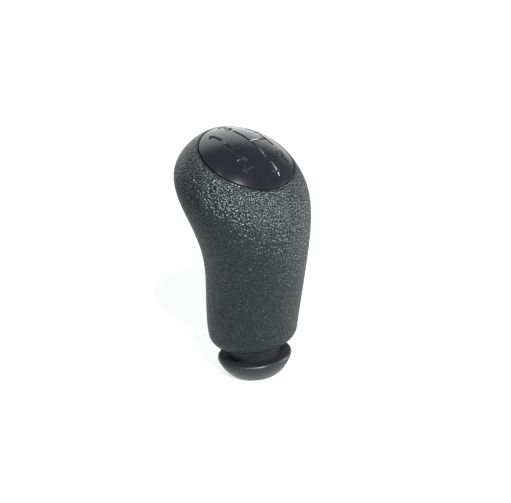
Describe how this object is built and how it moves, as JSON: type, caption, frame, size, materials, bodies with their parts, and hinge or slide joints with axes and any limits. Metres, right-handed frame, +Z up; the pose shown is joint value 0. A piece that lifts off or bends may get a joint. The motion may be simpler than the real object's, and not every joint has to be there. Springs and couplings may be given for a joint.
{
  "type": "gear shift knob",
  "caption": "Car gear shift knob: a grained, forward-leaning grip with a tilted, domed shift-pattern cap, on a collared socket that presses onto the gear lever.",
  "frame": {"origin": "centre of the core's flat foot, on the gear lever's axis", "axes": "+Z up the gear lever, +Y to the front of the car, +X to the car's right, so the cap faces up and to the rear"},
  "size_m": [0.05, 0.0465, 0.0951],
  "materials": {
    "grip_skin": "fine pebble grain, satin",
    "core_plastic": "smooth satin",
    "cap_plastic": "smooth, polished"
  },
  "bodies": {
    "root": {"grip": "grip_skin", "core_insert": "core_plastic", "pattern_cap": "cap_plastic"}
  },
  "joints": []
}
